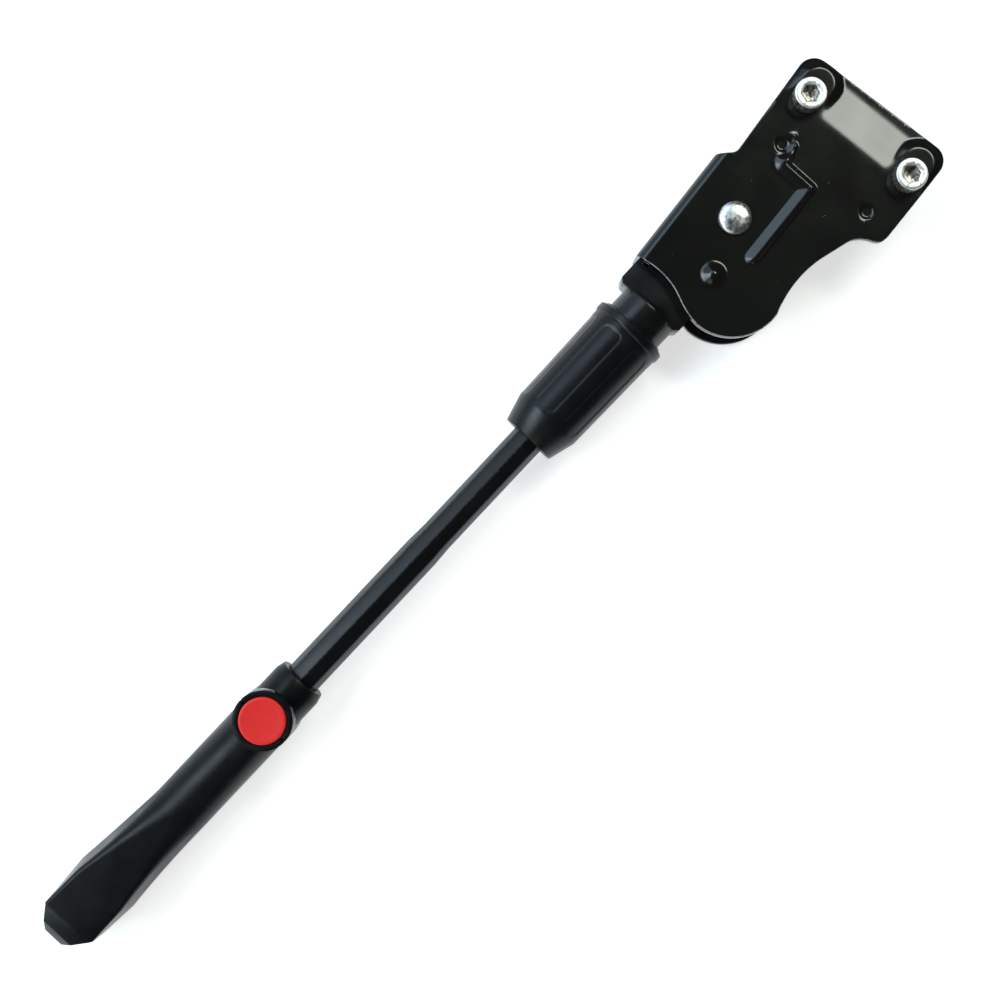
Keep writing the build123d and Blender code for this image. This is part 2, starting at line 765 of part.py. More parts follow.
pieces = [
    bracket,
    frame_bolts,
    pivot_rivet,
    pivot_cam,
    front_bush,
    rear_bush,
    front_washer,
    rear_washer,
    leg_head,
    plunger,
    leg_spring,
    rod_socket,
    rod_pin,
    leg_rod,
    rod_end_cap,
    spring_cover,
    cover_ring,
    foot,
    push_button,
    lock_frame,
    button_spring,
]
os.makedirs("parts", exist_ok=True)
for piece in pieces:
    export_step(piece.part, f"parts/{piece.part.label}.step")
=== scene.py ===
# %% [markdown]
# # A bicycle kickstand, dressed around its solid model
# The solids of the stand come in as a fixed frame: a folded steel bracket, two screws, a sprung
# leg under a moulded cover, an eight-sided rod and a foot with a red push button. This lesson
# gives every piece that shows its true edges and its finish, and leaves the pieces inside as they
# are, with a finish of their own. Sizes are in millimetres until a piece is put in its place.

# %% Load the frame
import math

import bmesh
import bpy
from mathutils import Matrix, Vector


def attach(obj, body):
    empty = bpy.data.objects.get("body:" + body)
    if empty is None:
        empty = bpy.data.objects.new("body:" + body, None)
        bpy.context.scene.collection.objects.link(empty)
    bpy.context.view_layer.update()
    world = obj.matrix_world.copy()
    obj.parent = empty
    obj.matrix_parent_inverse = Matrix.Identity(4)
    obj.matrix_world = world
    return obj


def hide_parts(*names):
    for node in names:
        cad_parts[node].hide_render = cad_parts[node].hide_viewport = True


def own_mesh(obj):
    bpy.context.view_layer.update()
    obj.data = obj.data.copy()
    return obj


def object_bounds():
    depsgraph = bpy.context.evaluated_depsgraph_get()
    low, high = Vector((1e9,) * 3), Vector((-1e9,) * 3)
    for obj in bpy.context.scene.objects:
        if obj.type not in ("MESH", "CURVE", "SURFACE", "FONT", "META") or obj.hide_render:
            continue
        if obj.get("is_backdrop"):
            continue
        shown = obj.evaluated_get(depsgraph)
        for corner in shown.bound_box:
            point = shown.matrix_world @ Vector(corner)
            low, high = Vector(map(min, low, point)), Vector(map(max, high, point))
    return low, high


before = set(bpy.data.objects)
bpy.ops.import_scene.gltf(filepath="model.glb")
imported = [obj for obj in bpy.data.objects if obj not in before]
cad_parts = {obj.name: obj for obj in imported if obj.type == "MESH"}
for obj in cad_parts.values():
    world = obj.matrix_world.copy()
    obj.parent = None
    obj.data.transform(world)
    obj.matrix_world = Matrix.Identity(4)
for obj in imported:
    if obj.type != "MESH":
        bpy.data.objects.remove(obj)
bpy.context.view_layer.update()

# %% [markdown]
# ## Where the pieces go
# The bracket is drawn in the frame's own directions. The leg lies at a slight angle, so its
# pieces are drawn along x from the pivot, with z up, and one matrix takes them to their place.
# Both matrices also turn millimetres into metres.

# %% Two places
mm = 0.001
pivot_x = -43.6
pivot_y = 14.13
leg_z = -7.0
leg_turn = math.radians(175.5)
on_bracket = Matrix.Scale(mm, 4)
on_leg = (
    Matrix.Scale(mm, 4)
    @ Matrix.Translation((pivot_x, pivot_y, leg_z))
    @ Matrix.Rotation(leg_turn, 4, "Z")
)
along = on_leg.col[0].xyz.normalized()


def leg_point(x, up=0.0):
    """The point of the frame, in millimetres, at x along the leg and some way above its axis."""
    return Vector((pivot_x, pivot_y, leg_z + up)) + along * x


print("the leg points along", tuple(round(c, 3) for c in along))

# %% [markdown]
# ## Finishes
# One function mixes every finish, because they are all built alike: clouds change the colour a
# little, a fine grain raises the surface, a slower wave makes it uneven, and a band of wear
# follows the edges. The edges are marked on the mesh while they are rounded, in an attribute
# named wear_and_sheen, so the wear stays on them whatever the light does. The same attribute and
# wear colour also paint a highlight on the bracket's lobe rim and a reflection on the foot's boss.

# %% The finish function
def finish(name, colour, rough, metal=0.0, **more):
    """A procedural material. Sizes of grain and waves are in millimetres, heights too."""
    mat = bpy.data.materials.new(name)
    mat.use_nodes = True
    tree = mat.node_tree
    shader = tree.nodes["Principled BSDF"]
    coords = tree.nodes.new("ShaderNodeTexCoord").outputs["Object"]

    def plug(sockets, values):
        for socket, value in zip(sockets, values):
            if isinstance(value, bpy.types.NodeSocket):
                tree.links.new(value, socket)
            else:
                socket.default_value = value

    def node(kind, **inputs):
        made = tree.nodes.new(kind)
        plug([made.inputs[key.replace("_", " ")] for key in inputs], inputs.values())
        return made

    def noise(size, detail=2.0, rough_noise=0.5):
        made = node("ShaderNodeTexNoise", Vector=coords, Scale=1 / (size * mm), Detail=detail)
        made.inputs["Roughness"].default_value = rough_noise
        return made.outputs["Fac"]

    def spread(value, low, high, start=0.0, end=1.0):
        made = node("ShaderNodeMapRange", Value=value)
        plug([made.inputs[key] for key in ("From Min", "From Max", "To Min", "To Max")], (start, end, low, high))
        return made.outputs["Result"]

    def blend(amount, one, two):
        made = tree.nodes.new("ShaderNodeMix")
        made.data_type = "RGBA"
        plug((made.inputs[0], made.inputs[6], made.inputs[7]), (amount, one, two))
        return made.outputs[2]

    def times(one, two):
        made = tree.nodes.new("ShaderNodeMath")
        made.operation = "MULTIPLY"
        plug(made.inputs, (one, two))
        return made.outputs[0]

    dark = tuple(c * (1 - more.get("shade", 0.25)) for c in colour) + (1,)
    light = tuple(c * (1 + more.get("shade", 0.25)) for c in colour) + (1,)
    clouds = noise(more.get("cloud", 14.0), 4.0)
    base = blend(spread(clouds, 0, 1, 0.3, 0.7), dark, light)

    specks = more.get("specks")
    if specks:
        size, reach, tint = specks
        dots = node("ShaderNodeTexVoronoi", Vector=coords, Scale=1 / (size * mm))
        near = spread(dots.outputs["Distance"], 1, 0, reach * 0.6, reach)
        some = spread(noise(size * 2.3, 1.0), 0, 1, 0.60, 0.64)
        base = blend(times(near, some), base, tint + (1,))

    wear_and_sheen = tree.nodes.new("ShaderNodeAttribute")
    wear_and_sheen.attribute_name = "wear_and_sheen"
    patches = spread(noise(more.get("wear_size", 1.1), 3.0, 0.6), 0.12, 1, 0.42, 0.62)
    wear = times(times(wear_and_sheen.outputs["Fac"], patches), more.get("wear", 0.5))
    base = blend(wear, base, more.get("wear_colour", light[:3]) + (1,))
    tree.links.new(base, shader.inputs["Base Color"])

    swing = more.get("rough_swing", 0.06)
    uneven = spread(noise(more.get("smear", 9.0), 3.0), rough - swing, rough + swing, 0.3, 0.7)
    tree.links.new(uneven, shader.inputs["Roughness"])
    shader.inputs["Metallic"].default_value = metal
    shader.inputs["Specular IOR Level"].default_value = more.get("gloss", 0.5)

    normal = None
    for size, height, detail in more.get("relief", ((0.5, 0.01, 2.0),)):
        bump = node("ShaderNodeBump", Height=noise(size, detail), Distance=height * mm)
        if normal:
            tree.links.new(normal, bump.inputs["Normal"])
        normal = bump.outputs["Normal"]
    tree.links.new(normal, shader.inputs["Normal"])
    return mat

# %% [markdown]
# The bracket is sprayed with a half-gloss black. The leg's castings are a shade duller, the rod
# is blacked steel, and the cover and the foot are grained plastic. The screws and the rivet are
# bright zinc, and the parts that nobody sees are plain steel, bronze and spring wire.

# %% The finishes of this stand
# The spray's pale wear colour also paints the highlight on the lobe's rim.
sprayed = finish(
    "sprayed_black", (0.0060, 0.0060, 0.0048), 0.165, shade=0.15, gloss=0.5, cloud=22.0, smear=12.0,
    rough_swing=0.025, relief=((0.35, 0.0014, 2.0), (3.5, 0.006, 2.0)),
    specks=(2.6, 0.10, (0.09, 0.10, 0.09)), wear=0.8, wear_size=1.6, wear_colour=(0.30, 0.30, 0.28),
)
cast_black = finish(
    "cast_black", (0.0055, 0.0056, 0.0054), 0.27, shade=0.2, gloss=0.4, cloud=9.0,
    relief=((0.28, 0.004, 2.0), (1.6, 0.008, 2.0)), wear=0.3, wear_colour=(0.06, 0.07, 0.08),
)
rod_black = finish(
    "blacked_rod", (0.0054, 0.0056, 0.0058), 0.30, shade=0.2, gloss=0.25, cloud=16.0,
    relief=((0.4, 0.002, 2.0), (3.0, 0.006, 2.0)), wear=0.4, wear_colour=(0.05, 0.055, 0.07),
)
moulded_cover = finish(
    "moulded_cover", (0.0046, 0.0048, 0.0052), 0.31, shade=0.2, gloss=0.28, cloud=12.0,
    relief=((0.30, 0.012, 3.0), (1.2, 0.004, 2.0)), wear=0.3, wear_colour=(0.05, 0.055, 0.065),
)
# The foot's pale wear colour also paints the reflection on the sides of the boss.
grained_foot = finish(
    "grained_foot", (0.0046, 0.0048, 0.0052), 0.33, shade=0.25, gloss=0.18, cloud=7.0,
    relief=((0.40, 0.034, 3.0), (1.8, 0.012, 2.0)), wear=1.0, wear_size=4.0, wear_colour=(0.50, 0.54, 0.56),
)
red_button = finish(
    "red_button", (0.80, 0.026, 0.022), 0.46, shade=0.05, gloss=0.3, cloud=5.0,
    relief=((0.22, 0.006, 2.0), (1.5, 0.015, 2.0)), wear=0.2, wear_colour=(0.85, 0.12, 0.10),
)
bright_zinc = finish(
    "bright_zinc", (0.86, 0.85, 0.82), 0.44, 1.0, shade=0.06, cloud=2.5, rough_swing=0.08,
    smear=1.4, relief=((0.3, 0.010, 3.0), (1.1, 0.015, 2.0)), specks=(0.8, 0.3, (0.25, 0.21, 0.16)),
    wear=0.9, wear_size=0.9, wear_colour=(0.16, 0.11, 0.07),
)
rivet_steel = finish(
    "rivet_steel", (0.74, 0.75, 0.74), 0.30, 1.0, shade=0.16, cloud=1.8, rough_swing=0.12,
    smear=1.2, relief=((0.5, 0.02, 3.0), (1.6, 0.05, 2.0)), wear=0.5, wear_colour=(0.9, 0.9, 0.9),
)
plain_steel = finish("plain_steel", (0.42, 0.42, 0.41), 0.38, 1.0, shade=0.15, cloud=4.0)
bronze = finish("bush_bronze", (0.42, 0.25, 0.11), 0.42, 1.0, shade=0.2, cloud=3.0)
spring_wire = finish("spring_wire", (0.30, 0.30, 0.31), 0.34, 1.0, shade=0.2, cloud=2.0)
print(len(bpy.data.materials), "finishes")

# %% [markdown]
# ## The finished piece
# Every new piece ends the same way. Its doubles are merged, its faces turned outwards, and its
# mesh moved to its place. Faces are shaded smooth, and an edge sharper than a limit is kept
# crisp. Rounded edges are marked for wear, in the wear_and_sheen attribute, as they are made.

# %% Helpers for every piece
def all_of(bm):
    """Every vertex, edge and face, which is what the mesh operators ask for."""
    return bm.verts[:] + bm.edges[:] + bm.faces[:]


def sharp_edges(bm, limit=40):
    """Edges where two faces meet at more than a limit in degrees."""
    return [e for e in bm.edges if len(e.link_faces) == 2 and e.calc_face_angle() > math.radians(limit)]


def take_in(bm, other):
    """Adds another mesh to this one and frees it."""
    held = bpy.data.meshes.new("held")
    other.to_mesh(held)
    other.free()
    bm.from_mesh(held)
    bpy.data.meshes.remove(held)


def round_edges(bm, edges, radius, segments=2, mark=1.0, clamp=True):
    """Bevels edges and marks the new faces for wear."""
    wear_and_sheen = bm.faces.layers.float.get("wear_and_sheen") or bm.faces.layers.float.new("wear_and_sheen")
    edges = [e for e in edges if e.is_valid]
    made = bmesh.ops.bevel(
        bm, geom=edges, offset=radius, offset_type="OFFSET", segments=segments, profile=0.5,
        affect="EDGES", clamp_overlap=clamp, material=-1,
    )
    for face in made["faces"]:
        face[wear_and_sheen] = mark
    return made["faces"]


def finished(bm, name, place, mat, body, stands_for, crisp=35, turn_out=True):
    """Makes the object, in its place, hangs it on its body and hides the solids it stands for."""
    bmesh.ops.remove_doubles(bm, verts=bm.verts, dist=1e-4)
    if turn_out:
        bmesh.ops.recalc_face_normals(bm, faces=bm.faces)
    for face in bm.faces:
        face.smooth = True
    for edge in bm.edges:
        edge.smooth = len(edge.link_faces) == 2 and edge.calc_face_angle(0.0) < math.radians(crisp)
    bm.transform(place)
    mesh = bpy.data.meshes.new(name)
    bm.to_mesh(mesh)
    bm.free()
    mesh.materials.append(mat)
    piece = bpy.data.objects.new(name, mesh)
    bpy.context.scene.collection.objects.link(piece)
    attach(piece, body)
    if stands_for:
        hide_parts(*stands_for)
    print(name, len(mesh.polygons), "faces")
    return piece

# %% [markdown]
# ## The bracket's blank
# The real bracket is blanked from steel plate and folded twice. Its outline is walked here in
# the same order, with straight runs and arcs through three points, then cut into short steps.
# Corners are softened by smoothing the steps next to them, as a die's corner would be.

# %% Walk an outline
wall = 3.2
gap = 16.8
floor_z = -(gap + wall)
fold = 3.6
plate_top = 13.2
plate_side = 26.9
flange_turn = math.radians(0.64)
flange_run = Vector((math.cos(flange_turn), math.sin(flange_turn), 0))
flange_out = Vector((-math.sin(flange_turn), math.cos(flange_turn), 0))
flange_low = Vector((-71.5, 31.05, 0))
flange_high = Vector((-31.0, 31.5, 0))
relief = Vector((-27.2, 26.75, 0))
fold_low = flange_low - fold * flange_out
cut_run = (relief - flange_high).normalized()
cut_out = Vector((-cut_run.y, cut_run.x, 0))
fold_high = fold_low + flange_run * ((flange_high - fold_low).dot(cut_out) / flange_run.dot(cut_out))
near_foot = (-21.7, -plate_side)
nose = (-31.3, -16.9)
hollow = (-45.3, -13.35)
lobe_x = -59.7
lobe_y = 2.3
lobe_r = 17.4
lobe_in = (lobe_x - lobe_r * math.cos(math.radians(22)), lobe_y + lobe_r * math.sin(math.radians(22)))
lobe_out = (lobe_x + lobe_r * math.sin(math.radians(3)), lobe_y - lobe_r * math.cos(math.radians(3)))
lobe_mid = (lobe_x - lobe_r * math.cos(math.radians(35)), lobe_y - lobe_r * math.sin(math.radians(35)))
waist = (-71.9, 17.6)


def circle_through(a, b, c):
    """Centre of the circle through three points, and the turn from the first to the last."""
    (ax, ay), (bx, by), (cx, cy) = (p[:2] for p in (a, b, c))
    d = 2 * (ax * (by - cy) + bx * (cy - ay) + cx * (ay - by))
    ux = ((ax**2 + ay**2) * (by - cy) + (bx**2 + by**2) * (cy - ay) + (cx**2 + cy**2) * (ay - by)) / d
    uy = ((ax**2 + ay**2) * (cx - bx) + (bx**2 + by**2) * (ax - cx) + (cx**2 + cy**2) * (bx - ax)) / d
    turn = math.atan2(cy - uy, cx - ux) - math.atan2(ay - uy, ax - ux)
    clockwise = (bx - ax) * (cy - ay) - (by - ay) * (cx - ax) < 0
    turn = turn % (2 * math.pi) - (2 * math.pi if clockwise else 0)
    return Vector((ux, uy, 0)), turn


def walk(bm, start, runs, step=1.25):
    """Draws a closed outline: a run is one point for a line and two for an arc through them."""
    first = pen = bm.verts.new((start[0], start[1], 0))
    for run in runs:
        end = Vector((run[-1][0], run[-1][1], 0))
        if len(run) == 2:
            centre, turn = circle_through(pen.co, run[0], run[1])
            steps = max(2, round(abs(turn) * (end - centre).length / step))
            pen = bmesh.ops.spin(
                bm, geom=[pen], cent=centre, axis=(0, 0, 1), angle=turn, steps=steps,
                dvec=(0, 0, 0), use_merge=False, use_duplicate=False,
            )["geom_last"][0]
        else:
            pen = bmesh.ops.extrude_vert_indiv(bm, verts=[pen])["verts"][0]
            pen.co = end
    bmesh.ops.weld_verts(bm, targetmap={pen: first})
    return bmesh.ops.contextual_create(bm, geom=bm.edges[:])["faces"][0]


def nearest(bm, point):
    return min(bm.verts, key=lambda v: (v.co.xy - Vector(point[:2])).length)


def round_corner(bm, point, radius):
    """Rounds a corner between two straight runs."""
    bmesh.ops.bevel(
        bm, geom=[nearest(bm, point)], offset=radius, offset_type="OFFSET", segments=8,
        profile=0.5, affect="VERTICES", clamp_overlap=True, material=-1,
    )


def soften_corner(bm, point, reach, times):
    """Softens the steps within reach of a corner, for corners between arcs."""
    near = [v for v in bm.verts if (v.co.xy - Vector(point[:2])).length < reach]
    for _ in range(times):
        bmesh.ops.smooth_vert(bm, verts=near, factor=0.5, use_axis_x=True, use_axis_y=True)


def cut_long_edges(bm, step=1.25):
    """Cuts the straight runs into steps as short as those of the arcs."""
    for edge in bm.edges[:]:
        cuts = round(edge.calc_length() / step) - 1
        if cuts > 0:
            bmesh.ops.subdivide_edges(bm, edges=[edge], cuts=cuts)

# %% [markdown]
# The front wall's blank runs from the fold round the two screws to the lobe. The back wall's
# has the same lobe but stops short of the screws. Both share the fold line, so that the strip
# bent between them fits without a seam.

# %% Front and back blanks, and the strip bent between them
back_end = -33.5
back_step_y = 20.0
back_corner = (back_end, -12.0)
left_edge_y = 28.6
lobe_runs = [(lobe_mid, lobe_in), (waist, fold_low)]

bracket = bmesh.new()
walk(
    bracket, fold_low,
    [
        (fold_high,), (relief,), ((plate_top - 0.5, left_edge_y),), ((plate_top + 0.9, -plate_side),),
        (near_foot,), ((-24.6, -20.0), nose), (hollow, lobe_out), *lobe_runs,
    ],
)
round_corner(bracket, (plate_top - 0.5, left_edge_y), 5.5)
round_corner(bracket, (plate_top + 0.9, -plate_side), 5.5)
round_corner(bracket, relief, 1.4)
cut_long_edges(bracket)
soften_corner(bracket, near_foot, 2.6, 6)
soften_corner(bracket, nose, 4.5, 12)
soften_corner(bracket, lobe_in, 5.0, 14)
bmesh.ops.translate(bracket, verts=bracket.verts, vec=(0, 0, wall))

back_blank = bmesh.new()
walk(
    back_blank, fold_low,
    [
        (fold_high,), ((back_end, back_step_y),), (back_corner,),
        ((hollow[0], -12.6), lobe_out), *lobe_runs,
    ],
)
cut_long_edges(back_blank)
soften_corner(back_blank, back_corner, 6.5, 30)
soften_corner(back_blank, lobe_in, 5.0, 14)
bmesh.ops.translate(back_blank, verts=back_blank.verts, vec=(0, 0, floor_z))
take_in(bracket, back_blank)


def on_fold(vert, z):
    return abs((vert.co - fold_low).dot(flange_out)) < 1e-3 and abs(vert.co.z - z) < 1e-3


fold_edges = [e for e in bracket.edges if all(on_fold(v, wall) for v in e.verts)]
for turn_z, drop in ((wall - fold, gap + 2 * wall - 2 * fold), (floor_z + fold, 0)):
    chain = fold_edges + list({v for e in fold_edges for v in e.verts})
    bent = bmesh.ops.spin(
        bracket, geom=chain, cent=fold_low + Vector((0, 0, turn_z)), axis=flange_run,
        angle=-math.pi / 2, steps=7, dvec=(0, 0, 0), use_merge=False, use_duplicate=False,
    )["geom_last"]
    fold_edges = [g for g in bent if isinstance(g, bmesh.types.BMEdge)]
    if drop:
        sunk = bmesh.ops.extrude_edge_only(bracket, edges=fold_edges)["geom"]
        fold_edges = [g for g in sunk if isinstance(g, bmesh.types.BMEdge)]
        low = [g for g in sunk if isinstance(g, bmesh.types.BMVert)]
        bmesh.ops.translate(bracket, verts=low, vec=(0, 0, -drop))
print("last fold at", fold_edges[0].verts[0].co, "for the back wall at", floor_z)
bmesh.ops.remove_doubles(bracket, verts=bracket.verts, dist=0.02)

# %% [markdown]
# The strip's end is sheared off on a slant, from the outer face down to the relief notch. Then
# the sheet gets its thickness, and its cut edges are rounded as paint and tumbling leave them.
# The rim of the lobe gets a painted highlight: its mark is many times that of the other edges,
# so the pale wear colour draws it as a thin bright line.

# %% Shear the strip, thicken the sheet and round its cut edges
beyond = [f for f in bracket.faces if (f.calc_center_median() - fold_low).dot(flange_out) > 1e-3]
bmesh.ops.bisect_plane(
    bracket, geom=beyond + list({e for f in beyond for e in f.edges} | {v for f in beyond for v in f.verts}),
    plane_co=flange_high, plane_no=cut_out if cut_out.x > 0 else -cut_out, clear_outer=True, dist=1e-3,
)
bmesh.ops.remove_doubles(bracket, verts=bracket.verts, dist=0.25)
bmesh.ops.recalc_face_normals(bracket, faces=bracket.faces)
top_face = max(bracket.faces, key=lambda f: f.calc_center_median().z)
if top_face.normal.z < 0:
    bmesh.ops.reverse_faces(bracket, faces=bracket.faces)
outer = set(bracket.verts)
open_ends = [e for e in bracket.edges if len(e.link_faces) == 1]
print("open edges before thickening", len(open_ends))
bmesh.ops.solidify(bracket, geom=bracket.faces[:], thickness=wall)
rim = [f for f in bracket.faces if 0 < sum(v in outer for v in f.verts) < len(f.verts)]
rim_set = set(rim)
cut_edges = [
    e for e in bracket.edges
    if len(e.link_faces) == 2 and sum(f in rim_set for f in e.link_faces) == 1
]
rim_r = 0.32
rim_wear = 0.3
lobe_rim_wear = 5.0
rim_round = round_edges(bracket, cut_edges, rim_r, 3, mark=rim_wear, clamp=False)
wear_and_sheen = bracket.faces.layers.float["wear_and_sheen"]
# Painted highlight: the lobe's rim faces get a mark far above the wear of the other edges.
for face in rim_round:
    middle = face.calc_center_median()
    if middle.x < -55 and -1 < middle.z and middle.y < 28:
        face[wear_and_sheen] = lobe_rim_wear
print("bracket rim edges", len(cut_edges))

# %% [markdown]
# ## Pressed shapes
# The press leaves a lowered face between the screws with a raised pad round each, a rib with two
# bends, a round pip near the lobe and two small marks. They are soft shapes on a flat face, and
# one height rule says how high each point of the face lies.

# %% The height rule
bolt_reach = 20.0
band_start = -2.2
band_end = 10.4
band_drop = 1.7
pad_run = [(0.0, 0.0), (6.0, 0.0)]
pad_start = 4.4
pad_end = 8.4
edge_drop = 0.6
rib_points = [(-14.8, 14.2), (-20.9, 12.3), (-21.5, 1.4), (-49.8, 1.4)]
rib_half = 3.9
rib_rise = 1.3
dome = Vector((-61.7, 8.3))
dome_r = 4.9
dome_rise = 2.0
marks = (Vector((-16.4, 17.0)), Vector((-16.3, -16.8)))
mark_r = 2.4
mark_wall = 0.9
mark_depth = 0.5


def ease(value, start, end):
    """0 before start and 1 after end, with a soft change between."""
    t = min(1.0, max(0.0, (value - start) / (end - start)))
    return t * t * (3 - 2 * t)


def incline(value, start, end, soft):
    """0 before start and 1 after end, straight between, with both bends softened."""
    shifts = [soft * k / 3 for k in range(-3, 4)]
    return sum(min(1.0, max(0.0, (value + s - start) / (end - start))) for s in shifts) / len(shifts)


def beside_line(p, points):
    """Distance from a bent line, and whether the point lies on its right-hand side."""
    best = (1e9, 0)
    right = False
    for a, b in zip(points[:-1], points[1:]):
        a = Vector(a)
        run = Vector(b) - a
        t = min(1.0, max(0.0, (p - a).dot(run) / run.length_squared))
        across = run.cross(p - a) / run.length
        key = (round((p - a - t * run).length, 4), -abs(across))
        if key < best:
            best = key
            right = across < 0
    return best[0], right


def dent(out):
    """A mark is a round pit with a short straight wall."""
    return 1 - incline(out.length, mark_r - mark_wall, mark_r, 0.1)


def face_height(x, y):
    """How far the front face is above its flat level, in millimetres."""
    p = Vector((x, y))
    pad = beside_line(Vector((x, abs(y) - bolt_reach)), pad_run)[0]
    lowered = -band_drop * incline(x, band_start, band_end, 1.2) * ease(pad, pad_start, pad_end)
    edge = -edge_drop * ease(y, left_edge_y - 4.0, left_edge_y + 0.6) * ease(x, -23.0, -6.0)
    aside, slope_side = beside_line(p, rib_points)
    soft_rib = rib_rise * (1 - ease(aside, 0.1, 5.0 if slope_side else 2.0))
    soft_rib *= ease((p - marks[0]).length, mark_r, mark_r + 3.0)
    hard_rib = rib_rise * (1 - incline(aside, 0.3, rib_half - 0.6, 0.3)) if slope_side else soft_rib
    straight = ease(-x, 20.0, 25.0)
    rib = soft_rib * (1 - straight) + hard_rib * straight
    out = (p - dome).length
    pip = dome_rise * (0.5 + 0.5 * math.cos(math.pi * min(1.0, out / dome_r)))
    return lowered + edge + max(rib, pip) - mark_depth * max(dent(p - m) for m in marks)


def featured(p):
    """True near the shapes, where the net is cut finer."""
    near_mark = min((p - m).length for m in marks) < mark_r + 0.8
    return p.x > -3.5 or near_mark or beside_line(p, rib_points)[0] < 5.6 or (p - dome).length < dome_r + 0.6

# %% [markdown]
# The large front face is cut into a net by planes across it, and the cells near the shapes are
# cut finer. Then every point of the front face and of its rounded rim moves by the height rule.

# %% Cut the net and press the shapes
net = 1.0
face = max((f for f in bracket.faces if f.normal.z > 0.99), key=lambda f: f.calc_area())
cells = {face}
for axis, low, high in ((0, -78.0, 14.5), (1, -28.0, 30.5)):
    count = int((high - low) / net)
    for step in range(count):
        at = Vector((0, 0, 0))
        at[axis] = low + (step + 0.37) * net
        normal = Vector((0, 0, 0))
        normal[axis] = 1
        crossed = [
            f for f in cells
            if min(v.co[axis] for v in f.verts) < at[axis] < max(v.co[axis] for v in f.verts)
        ]
        if not crossed:
            continue
        geom = crossed + list({e for f in crossed for e in f.edges} | {v for f in crossed for v in f.verts})
        made = bmesh.ops.bisect_plane(bracket, geom=geom, plane_co=at, plane_no=normal, dist=1e-4)["geom"]
        cells.update(g for g in made if isinstance(g, bmesh.types.BMFace))
cells = {f for f in cells if f.is_valid}
print("cells", len(cells))
fine = [f for f in cells if featured(f.calc_center_median().xy) and all(featured(v.co.xy) for v in f.verts)]
bmesh.ops.subdivide_edges(
    bracket, edges=list({e for f in fine for e in f.edges}), cuts=2, use_grid_fill=True,
)
for vert in bracket.verts:
    if vert.co.z > wall - 1.0 and (vert.co - fold_low).dot(flange_out) < 0.05:
        vert.co.z += face_height(vert.co.x, vert.co.y)
bracket_piece = finished(
    bracket, "folded_bracket", on_bracket, sprayed, "bracket_body", ["bracket"],
    turn_out=False,
)

# %% [markdown]
# ## The two screws
# Each is a socket head cap screw. The head is turned, so its profile is spun round the screw's
# axis, and the hexagon is pushed down into it. The thread is one tooth of profile, spun and
# lowered by one pitch a turn.

# %% Screws
head_r = 5.0
head_top = 6.0
key_width = 5.0
key_r = key_width / 2 / math.cos(math.pi / 6)
key_depth = 2.9
knurl = 0.16
side_and_socket_darkening = 1.4
pitch = 1.0
thread_low = -12.2


def lathe(bm, profile, steps=64):
    """Spins a profile of (radius, height) points a full turn round z."""
    verts = [bm.verts.new((radius, 0, height)) for radius, height in profile]
    edges = [bm.edges.new(pair) for pair in zip(verts[:-1], verts[1:])]
    bmesh.ops.spin(
        bm, geom=verts + edges, cent=(0, 0, 0), axis=(0, 0, 1), angle=2 * math.pi, steps=steps,
        dvec=(0, 0, 0), use_merge=True, use_duplicate=False,
    )
    bmesh.ops.remove_doubles(bm, verts=bm.verts, dist=1e-4)


